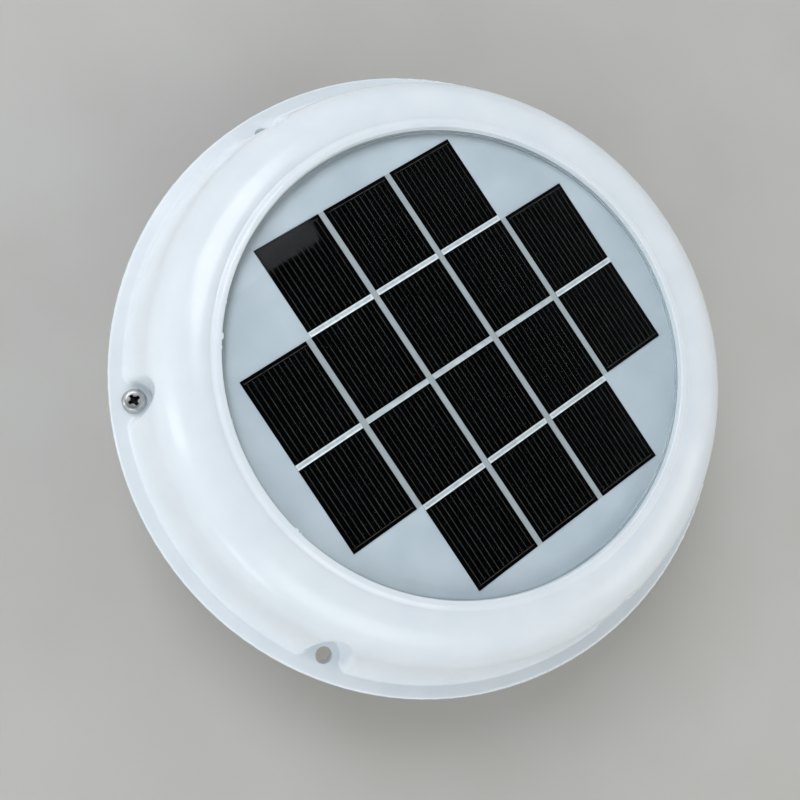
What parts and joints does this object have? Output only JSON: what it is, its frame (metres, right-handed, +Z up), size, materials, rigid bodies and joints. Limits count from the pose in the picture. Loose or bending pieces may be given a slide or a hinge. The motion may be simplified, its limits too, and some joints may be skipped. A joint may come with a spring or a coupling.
{
  "type": "solar attic fan",
  "caption": "Round roof vent fan with a domed cover, a solar panel set in its top, a motor-driven impeller in a duct collar below, and a turning shutter.",
  "frame": {"origin": "centre of the circle of deck screws, on the roof's surface", "axes": "+Z up out of the roof along the fan's axis; the screw that is fitted lies towards -X"},
  "size_m": [0.229, 0.229, 0.0801],
  "materials": {
    "cover_plastic": "gloss",
    "housing_plastic": "satin",
    "impeller_plastic": "satin",
    "black_nylon": "satin",
    "stainless_steel": "polished",
    "zinc_plated_steel": "satin",
    "tinned_copper": "satin",
    "enamelled_copper": "gloss",
    "bronze": "satin",
    "ferrite": "matt",
    "silicon_cell": "satin",
    "backing_sheet": "matt",
    "panel_glass": "polished",
    "sealant": "satin",
    "black_rubber": "matt",
    "gasket_foam": "matt",
    "screen_mesh": "satin",
    "red_insulation": "satin",
    "black_insulation": "satin"
  },
  "bodies": {
    "housing": {"top_cover": "cover_plastic", "flange_screw": "stainless_steel", "panel_backing": "backing_sheet", "panel_glass": "panel_glass", "panel_sealant": "sealant", "cell_ribbons": "tinned_copper", "wire_grommet": "black_rubber", "solder_terminals": "tinned_copper", "duct_housing": "housing_plastic", "deck_gasket": "gasket_foam", "housing_screws": "stainless_steel", "motor_cover": "housing_plastic", "motor_can": "zinc_plated_steel", "motor_end_cap": "black_nylon", "motor_magnets": "ferrite", "lower_bearing": "bronze", "upper_bearing": "bronze", "motor_brushes": "bronze", "motor_terminals": "tinned_copper", "motor_screws": "stainless_steel", "insect_screen": "screen_mesh", "closing_grille": "housing_plastic", "shutter_pivot": "black_nylon", "positive_wire": "red_insulation", "negative_wire": "black_insulation", "solar_cell_01": "silicon_cell", "solar_cell_02": "silicon_cell", "solar_cell_03": "silicon_cell", "solar_cell_04": "silicon_cell", "solar_cell_05": "silicon_cell", "solar_cell_06": "silicon_cell", "solar_cell_07": "silicon_cell", "solar_cell_08": "silicon_cell", "solar_cell_09": "silicon_cell", "solar_cell_10": "silicon_cell", "solar_cell_11": "silicon_cell", "solar_cell_12": "silicon_cell", "solar_cell_13": "silicon_cell", "solar_cell_14": "silicon_cell", "solar_cell_15": "silicon_cell", "solar_cell_16": "silicon_cell"},
    "rotor": {"motor_shaft": "stainless_steel", "armature_core": "zinc_plated_steel", "armature_windings": "enamelled_copper", "commutator": "bronze", "impeller": "impeller_plastic", "impeller_cap": "impeller_plastic"},
    "shutter": {"shutter_disc": "housing_plastic"}
  },
  "joints": [
    {"name": "rotor_spin", "type": "hinge", "parent": "housing", "child": "rotor", "pos_m": [0, 0, 0], "axis": [0, 0, 1], "continuous": true},
    {"name": "shutter_turn", "type": "hinge", "parent": "housing", "child": "shutter", "pos_m": [0, 0, -0.0331], "axis": [0, 0, 1], "range_deg": [0, 22.5]}
  ]
}
